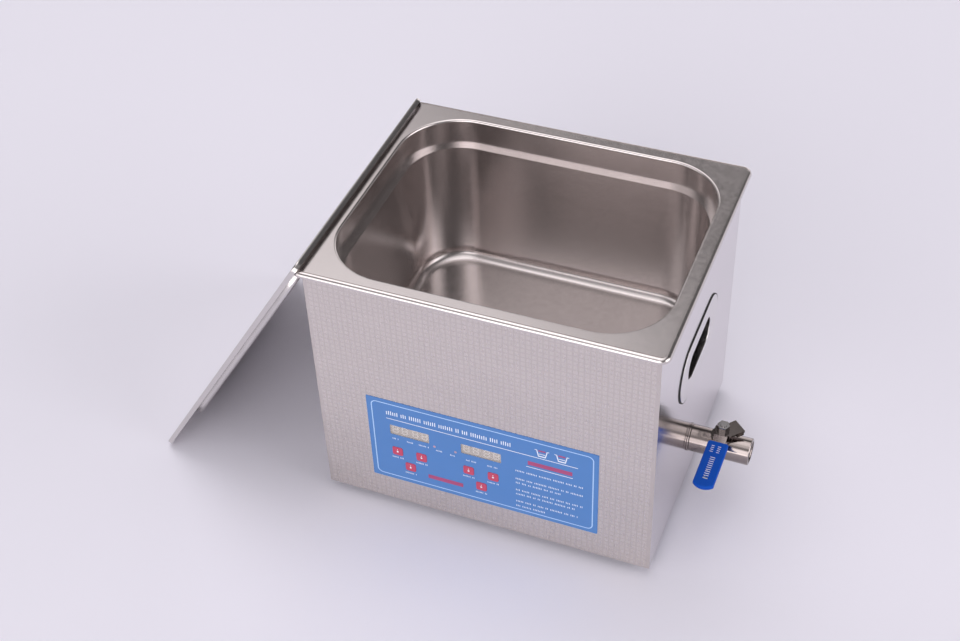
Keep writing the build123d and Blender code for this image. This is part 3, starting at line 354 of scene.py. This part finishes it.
FINISHES = {made.__name__: made for made in (
    tank_steel, embossed_steel, side_steel, lid_steel, handle_steel, valve_steel, zinc_steel, rubber,
    hose_rubber, sleeve_blue, label_blue, key_red, window, display_face, lamp_red, board_green,
    board_brass, ptfe, aluminium_raw, ceramic_buff, copper_tab, stack_steel, heater_foil, sensor_grey,
    black_plastic, wire_red, wire_grey, wire_brown, sink_black)}
PRINTS = {made.__name__: made() for made in (
    print_white, print_pale, print_red, segment_white, sleeve_print)}


def dress_cad_nodes():
    """Gives every CAD node the finish named by its own slot."""
    finished = {}
    for node in nodes.values():
        for place in node.material_slots:
            slot = place.material.name.split(".")[0]
            if slot not in finished:
                finished[slot] = FINISHES[slot]()
            place.material = finished[slot]
    return finished


def polish_valve_nuts():
    """The stem and its two nuts are brighter than the valve's body."""
    chrome = nut_chrome()
    for bright in ("stem_nut", "valve_stem", "gland_nut"):
        nodes[bright].material_slots[0].material = chrome


# ---------------------------------------------------------------- mesh helpers
def mesh_piece(name, verts, faces, material, body, smooth=False):
    """One mesh object that rides on a CAD body."""
    mesh = bpy.data.meshes.new(name)
    mesh.from_pydata(verts, [], faces)
    mesh.update()
    if smooth:
        mesh.polygons.foreach_set("use_smooth", [True] * len(mesh.polygons))
    piece = bpy.data.objects.new(name, mesh)
    bpy.context.collection.objects.link(piece)
    mesh.materials.append(material)
    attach(piece, body)
    return piece


class Sheet:
    """Flat print on a plane: outlines in millimetres become faces of one mesh."""

    def __init__(self, place):
        self.place = place
        self.verts = []
        self.faces = []

    def add(self, outline):
        """One face from its outline."""
        start = len(self.verts)
        self.verts.extend(self.place(u, v) for u, v in outline)
        self.faces.append(list(range(start, len(self.verts))))

    def bar(self, u0, v0, u1, v1):
        self.add([(u0, v0), (u1, v0), (u1, v1), (u0, v1)])

    def line(self, a, b, width):
        """Straight stroke from a to b."""
        du, dv = b[0] - a[0], b[1] - a[1]
        reach = math.hypot(du, dv)
        nu, nv = -dv / reach * width / 2, du / reach * width / 2
        self.add([(a[0] - nu, a[1] - nv), (b[0] - nu, b[1] - nv),
                  (b[0] + nu, b[1] + nv), (a[0] + nu, a[1] + nv)])

    def disc(self, u, v, radius, sides=20):
        turn = 2 * math.pi / sides
        self.add([(u + radius * math.cos(k * turn), v + radius * math.sin(k * turn)) for k in range(sides)])

    def frame(self, width, height, radius, thick, u=0.0, v=0.0):
        """Rounded rectangular outline of a given stroke."""
        outer = rounded_outline(width, height, radius, u, v)
        inner = rounded_outline(width - 2 * thick, height - 2 * thick, radius - thick, u, v)
        count = len(outer)
        for k in range(count):
            n = (k + 1) % count
            self.add([outer[k], outer[n], inner[n], inner[k]])

    def ticks(self, u0, u1, v, height, pitch, seed):
        """A row of plain upright strokes in uneven groups, in place of lettering."""
        chance = random.Random(seed)
        u = u0
        left = chance.randint(3, 7)
        while u < u1:
            if left == 0:
                left = chance.randint(2, 8)
                u += pitch
                continue
            low = v - height / 2
            high = v + height / 2 * chance.choice((1.0, 1.0, 0.72))
            self.bar(u, low, u + pitch * 0.42, high)
            u += pitch
            left -= 1

    def make(self, name, material, body):
        return mesh_piece(name, self.verts, self.faces, material, body)


def rounded_outline(width, height, radius, u, v, steps=8):
    """Corner-rounded rectangle about (u, v), counter-clockwise."""
    points = []
    for quarter, (su, sv) in enumerate(((1, 1), (-1, 1), (-1, -1), (1, -1))):
        cu = u + su * (width / 2 - radius)
        cv = v + sv * (height / 2 - radius)
        for k in range(steps + 1):
            angle = (quarter + k / steps) * math.pi / 2
            points.append((cu + radius * math.cos(angle), cv + radius * math.sin(angle)))
    return points


def on_label(u, v):
    """Point of the label's print: u to the right of its middle, v above its lower edge, in mm."""
    return (LABEL_X + u * MM, LABEL_LOW[1] - LABEL_LIFT * MM, LABEL_LOW[2] + v * MM)


def lathe(name, profile, centre, axis, material, body, sides=48):
    """Solid or ring turned about an axis: profile is (along, radius) in millimetres."""
    along = Vector(axis)
    side = along.orthogonal().normalized()
    across = along.cross(side)
    verts = []
    faces = []
    count = len(profile)
    for k in range(sides):
        angle = 2 * math.pi * k / sides
        out = side * math.cos(angle) + across * math.sin(angle)
        verts.extend(Vector(centre) + along * (a * MM) + out * (r * MM) for a, r in profile)
    for k in range(sides):
        here = k * count
        there = ((k + 1) % sides) * count
        for j in range(count):
            n = (j + 1) % count
            faces.append((here + j, there + j, there + n, here + n))
    return mesh_piece(name, verts, faces, material, body)


# ---------------------------------------------------------------- embossed front
def under_label(x, z, margin):
    """True where a pad would lie wholly behind the label."""
    inside_x = min(x - LABEL_LOW[0], LABEL_HIGH[0] - x)
    inside_z = min(z - LABEL_LOW[2], LABEL_HIGH[2] - z)
    return min(inside_x, inside_z) > margin


def add_pad(verts, faces, x, z, rings):
    """One square pad: rings of four corners from foot to crown, and its flat top."""
    start = len(verts)
    for half, y in rings:
        verts.extend(((x - half, y, z - half), (x + half, y, z - half),
                      (x + half, y, z + half), (x - half, y, z + half)))
    for ring in range(len(rings) - 1):
        for k in range(4):
            a = start + ring * 4 + k
            b = start + ring * 4 + (k + 1) % 4
            faces.append((a, b, b + 4, a + 4))
    top = start + (len(rings) - 1) * 4
    faces.append((top, top + 1, top + 2, top + 3))


def embossed_pads():
    """Small square pads pressed over the whole front sheet, round the label."""
    pitch = EMBOSS_PITCH * MM
    profile = ((EMBOSS_PAD, 0.0), ((EMBOSS_PAD + EMBOSS_TOP) / 2, 0.6), (EMBOSS_TOP, 0.95),
               (EMBOSS_TOP * EMBOSS_CROWN, 1.0))
    rings = [(size * pitch / 2, FRONT_Y - rise * EMBOSS_RISE * MM + EMBOSS_SINK * MM)
             for size, rise in profile]
    width = FRONT_HIGH[0] - FRONT_LOW[0] - EMBOSS_SIDE * MM
    low = FRONT_LOW[2] + EMBOSS_BELOW * MM
    high = FRONT_HIGH[2] - EMBOSS_ABOVE * MM
    columns = int(width / pitch)
    rows = int((high - low) / pitch)
    first = (FRONT_LOW[0] + FRONT_HIGH[0]) / 2 - columns * pitch / 2
    verts = []
    faces = []
    for i in range(columns):
        for j in range(rows):
            x = first + (i + 0.5) * pitch
            z = low + (j + 0.5) * pitch
            if not under_label(x, z, pitch / 2):
                add_pad(verts, faces, x, z, rings)
    mesh_piece("front_embossing", verts, faces, pad_steel_painted_light(), "casing", smooth=True)


# ---------------------------------------------------------------- printed label
def label_border():
    """Thin rounded frame just inside the label's edge."""
    pale = Sheet(on_label)
    pale.frame(BORDER_W, BORDER_H, BORDER_R, BORDER_STROKE, 0.0, LABEL_HEIGHT / 2)
    pale.make("label_border", PRINTS["print_pale"], "casing")


def key_centres():
    """Key middles on the label, from the CAD keys."""
    centres = []
    for n in range(1, KEY_COUNT + 1):
        low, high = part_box(f"key_{n}")
        u = ((low[0] + high[0]) / 2 - LABEL_X) / MM
        v = ((low[2] + high[2]) / 2 - LABEL_LOW[2]) / MM
        centres.append((u, v))
    return centres


def label_rules():
    """Title strokes, rules and the rows of strokes for notes and captions; each row has its own seed."""
    white = Sheet(on_label)
    white.ticks(TITLE_FROM, TITLE_TO, TITLE_V, TITLE_STROKE_H, TITLE_PITCH, 11)
    for rule in RULES:
        white.bar(*rule)
    for row, (end, v) in enumerate(NOTES):
        white.ticks(NOTES_FROM, end, v, NOTE_STROKE_H, NOTE_PITCH, 40 + row)
    for key, (u, v) in enumerate(key_centres()):
        white.ticks(u - KEY_CAPTION_HALF, u + KEY_CAPTION_HALF, v - KEY_CAPTION_DROP,
                    CAPTION_STROKE_H, CAPTION_PITCH, 60 + key)
    for u, v, reach in CAPTIONS:
        white.ticks(u - reach / 2, u + reach / 2, v, CAPTION_STROKE_H, CAPTION_PITCH, 80 + u)
    white.make("label_print_white", PRINTS["print_white"], "casing")


def label_red_strips():
    """The two red strips, plain."""
    red = Sheet(on_label)
    for strip in RED_STRIPS:
        red.bar(*strip)
    red.make("label_print_red", PRINTS["print_red"], "casing")


def label_icons():
    """Two small basket signs at the right end of the title, each with a red line across its mouth."""
    white = Sheet(on_label)
    red = Sheet(on_label)
    for u, v in BASKETS:
        for side in (-1, 1):
            white.line((u + side * 6.6, v + 3.6), (u + side * 4.6, v + 3.6), 0.8)
            white.line((u + side * 4.8, v + 3.8), (u + side * 3.2, v - 3.4), 0.9)
        white.line((u - 3.6, v - 3.6), (u + 3.6, v - 3.6), 1.3)
        white.line((u - 3.0, v - 0.8), (u + 3.0, v - 0.8), 0.8)
        red.line((u - 3.2, v + 3.0), (u + 3.2, v + 3.0), 1.7)
    white.make("label_icons_white", PRINTS["print_white"], "casing")
    red.make("label_icons_red", PRINTS["print_red"], "casing")


def display_digits():
    """Seven-segment digits, all unlit, on the face of each display block."""
    face_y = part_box("display_modules")[0][1] - FACE_LIFT * MM
    sheet = Sheet(lambda u, v: (u * MM, face_y, v * MM))
    for x, z in DISPLAYS:
        for offset in DIGIT_OFFSETS:
            for a, b in SEGMENTS:
                start = Vector((x + offset + a[0] * DIGIT_HALF_W, z + a[1] * DIGIT_HALF_H))
                end = Vector((x + offset + b[0] * DIGIT_HALF_W, z + b[1] * DIGIT_HALF_H))
                gap = (end - start).normalized() * SEGMENT_GAP
                sheet.line(start + gap, end - gap, SEGMENT_STROKE)
    sheet.make("display_segments", PRINTS["segment_white"], "casing")


def key_marks():
    """White dot and a short stroke on each key, riding with it."""
    for n in range(1, KEY_COUNT + 1):
        low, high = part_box(f"key_{n}")
        face = low[1] - FACE_LIFT * MM
        x = (low[0] + high[0]) / 2 / MM
        z = (low[2] + high[2]) / 2 / MM
        mark = Sheet(lambda u, v, y=face: (u * MM, y, v * MM))
        mark.disc(x, z - KEY_DOT_DROP, KEY_DOT_R)
        mark.bar(x - KEY_TICK_HALF, z + KEY_TICK_LOW, x + KEY_TICK_HALF, z + KEY_TICK_HIGH)
        mark.make(f"key_mark_{n}", PRINTS["print_white"], f"button_{n}")


# ---------------------------------------------------------------- valve
def sleeve_strokes():
    """Moulded marks along the lever's sleeve: plain strokes, no lettering."""
    top = SLEEVE_HIGH[2] + SLEEVE_LIFT * MM
    middle = (SLEEVE_LOW[0] + SLEEVE_HIGH[0]) / 2 / MM
    inner_end = SLEEVE_HIGH[1] / MM
    marks = Sheet(lambda u, v: ((middle + v) * MM, (inner_end - u) * MM, top))
    chance = random.Random(5)
    along = MARKS_FROM
    while along < MARKS_TO:
        marks.bar(along, -MARK_HALF, along + MARK_STROKE, MARK_HALF)
        if chance.random() < 0.55:
            low = chance.choice((-MARK_HALF, -0.35, 1.5))
            high = chance.choice((-1.5, 0.35, MARK_HALF))
            marks.bar(along, low, along + MARK_FOOT, high)
        along += MARKS_PITCH
    for row in PAIR_ROWS:
        along = PAIR_FROM
        while along < PAIR_TO:
            marks.bar(along, row - PAIR_HALF, along + PAIR_STROKE, row + PAIR_HALF)
            along += PAIR_PITCH
    marks.make("sleeve_marks", PRINTS["sleeve_print"], "lever")


def outlet_thread():
    """Turned thread in the outlet's mouth."""
    teeth = []
    for turn in range(THREAD_TURNS):
        start = THREAD_START + turn * THREAD_PITCH
        teeth.append((start, THREAD_ROOT_R))
        teeth.append((start + 0.45 * THREAD_PITCH, THREAD_CREST_R))
        teeth.append((start + 0.6 * THREAD_PITCH, THREAD_CREST_R))
    teeth.append((THREAD_START + THREAD_TURNS * THREAD_PITCH, THREAD_ROOT_R))
    teeth.append((THREAD_END, THREAD_BACK_R))
    teeth.append((THREAD_START, THREAD_BACK_R))
    centre = (MOUTH_X, OUTLET_Y * MM, OUTLET_Z * MM)
    lathe("outlet_thread", teeth, centre, (1, 0, 0), FINISHED["valve_steel"], "casing")


# ---------------------------------------------------------------- grips
def grip_shadow_ring(node, side):
    """Black ring round one grip plate, between its rounded edge and the side sheet: painted shadow, a dark
    sheet in the rubber finish that stands for the shade in the gap.
    """
    low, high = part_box(node)
    face = high[0] if side > 0 else low[0]
    width = (high[1] - low[1]) / MM + 2 * SHADOW_RING_OVER
    height = (high[2] - low[2]) / MM + 2 * SHADOW_RING_OVER
    radius = height / 2 - SHADOW_RING_FLAT
    middle_z = (low[2] + high[2]) / 2
    outer = rounded_outline(width, height, radius, 0, 0, steps=16)
    inner = rounded_outline(width - 2 * SHADOW_RING_W, height - 2 * SHADOW_RING_W, radius - SHADOW_RING_W, 0, 0, steps=16)
    near = face - side * SHADOW_RING_NEAR * MM
    back = face - side * SHADOW_RING_BACK * MM
    verts = []
    for ring, x in ((outer, back), (outer, near), (inner, near)):
        verts.extend((x, u * MM, middle_z + v * MM) for u, v in ring)
    count = len(outer)
    faces = []
    for band in range(2):
        for k in range(count):
            a = band * count + k
            b = band * count + (k + 1) % count
            faces.append((a, b, b + count, a + count))
    mesh_piece(node + "_gasket", verts, faces, FINISHED["rubber"], "casing", smooth=True)


# ---------------------------------------------------------------- studio
CAMERA_PLACE = (0.36769, -0.97481, 1.10174)
CAMERA_AZIMUTH, CAMERA_ELEVATION, CAMERA_ROLL = 23.175, 42.306, -2.507
CAMERA_LENS = 58.42
FLOOR_REACH = 30.0
ROOM_COLOUR = (1.0, 0.965, 0.985, 1)
ROOM_BASE = 0.10
HORIZON_GLOW = 0.84         # band round the horizon, where the floor meets the room
HORIZON_FULL, HORIZON_GONE = 3, 16      # degrees off the horizon
WALL, BOX, FILL = 2.4, 0.9, 0.3          # the rig's three levels: bright walls, soft boxes, weak fill
ROOM_LIGHTS = (             # azimuth, elevation, inner and outer half angle in degrees, level
    (0, 18, 12, 32, WALL),        # right-hand wall
    (270, 18, 12, 32, WALL),      # wall in front
    (225, 18, 12, 32, WALL / 2),  # front left, half as bright as the walls
    (90, 14, 10, 24, BOX),        # low at the back
    (140, 50, 19, 28, BOX),       # large one at the back left, for the front of the rim
    (120, 70, 14, 28, BOX),       # high at the back
    (0, 90, 14, 32, BOX),         # overhead
    (270, 50, 12, 30, FILL),      # over the camera
    (300, 70, 14, 28, FILL),      # high at the front
)


def look_along(azimuth, elevation, roll):
    """Camera rotation: azimuth 0 looks along +Y, elevation is above the horizon."""
    a, e, r = math.radians(azimuth), math.radians(elevation), math.radians(roll)
    right = Vector((math.cos(a), math.sin(a), 0))
    up = Vector((-math.sin(a) * math.sin(e), math.cos(a) * math.sin(e), math.cos(e)))
    back = Vector((math.sin(a) * math.cos(e), -math.cos(a) * math.cos(e), math.sin(e)))
    turned_right = right * math.cos(r) + up * math.sin(r)
    turned_up = up * math.cos(r) - right * math.sin(r)
    return Matrix((turned_right, turned_up, back)).transposed()


def camera():
    """Three-quarter view from above the front right corner."""
    data = bpy.data.cameras.new("camera")
    data.sensor_fit = "HORIZONTAL"
    data.sensor_width = 36.0
    data.lens = CAMERA_LENS
    data.clip_start = 0.05
    data.clip_end = 60.0
    view = bpy.data.objects.new("camera", data)
    rotation = look_along(CAMERA_AZIMUTH, CAMERA_ELEVATION, CAMERA_ROLL)
    view.matrix_world = Matrix.Translation(CAMERA_PLACE) @ rotation.to_4x4()
    bpy.context.collection.objects.link(view)
    bpy.context.scene.camera = view


def fade_in(tree, value, start, full, strength):
    """Rises smoothly from 0 where value is start to strength where value is full."""
    fade = tree.nodes.new("ShaderNodeMapRange")
    fade.interpolation_type = "SMOOTHSTEP"
    fade.inputs["From Min"].default_value = start
    fade.inputs["From Max"].default_value = full
    fade.inputs["To Min"].default_value = 0.0
    fade.inputs["To Max"].default_value = strength
    tree.links.new(value, fade.inputs["Value"])
    return fade.outputs["Result"]


def plus(tree, a, b):
    """Sum of two outputs."""
    add = tree.nodes.new("ShaderNodeMath")
    add.operation = "ADD"
    tree.links.new(a, add.inputs[0])
    tree.links.new(b, add.inputs[1])
    return add.outputs[0]


def patch(tree, direction, azimuth, elevation, inner, outer, radiance):
    """One soft-edged round light in the room; azimuth turns from +X towards +Y."""
    a, e = math.radians(azimuth), math.radians(elevation)
    aim = tree.nodes.new("ShaderNodeVectorMath")
    aim.operation = "DOT_PRODUCT"
    aim.inputs[1].default_value = (math.cos(a) * math.cos(e), math.sin(a) * math.cos(e), math.sin(e))
    tree.links.new(direction, aim.inputs[0])
    edge = math.cos(math.radians(outer))
    core = math.cos(math.radians(inner))
    return fade_in(tree, aim.outputs["Value"], edge, core, radiance)


def horizon(tree, direction):
    """Bright band at the horizon, so that the floor runs out into the room without an edge."""
    split = tree.nodes.new("ShaderNodeSeparateXYZ")
    level = tree.nodes.new("ShaderNodeMath")
    level.operation = "ABSOLUTE"
    tree.links.new(direction, split.inputs[0])
    tree.links.new(split.outputs["Z"], level.inputs[0])
    gone = math.sin(math.radians(HORIZON_GONE))
    full = math.sin(math.radians(HORIZON_FULL))
    return fade_in(tree, level.outputs[0], gone, full, HORIZON_GLOW)


def world():
    """Soft room: an even base, a band at the horizon and large round lights round the object."""
    room = bpy.data.worlds.new("room")
    bpy.context.scene.world = room
    room.use_nodes = True
    tree = room.node_tree
    direction = tree.nodes.new("ShaderNodeTexCoord").outputs["Generated"]
    total = horizon(tree, direction)
    for light in ROOM_LIGHTS:
        total = plus(tree, total, patch(tree, direction, *light))
    base = tree.nodes.new("ShaderNodeMath")
    base.operation = "ADD"
    base.inputs[1].default_value = ROOM_BASE
    tree.links.new(total, base.inputs[0])
    background = tree.nodes["Background"]
    tree.links.new(base.outputs[0], background.inputs["Strength"])
    background.inputs["Color"].default_value = ROOM_COLOUR


def floor():
    """Pale seamless floor."""
    mesh = bpy.data.meshes.new("floor")
    r = FLOOR_REACH
    mesh.from_pydata([(-r, -r, 0), (r, -r, 0), (r, r, 0), (-r, r, 0)], [], [(0, 1, 2, 3)])
    piece = bpy.data.objects.new("floor", mesh)
    bpy.context.collection.objects.link(piece)
    mesh.materials.append(floor_paper())


# ---------------------------------------------------------------- everything in place
FINISHED = dress_cad_nodes()
polish_valve_nuts()
grip_shadow_ring("left_handle", -1)
grip_shadow_ring("right_handle", 1)
embossed_pads()
label_border()
label_rules()
label_red_strips()
label_icons()
display_digits()
key_marks()
sleeve_strokes()
outlet_thread()
world()
floor()
camera()
bpy.context.scene.view_settings.view_transform = "Standard"
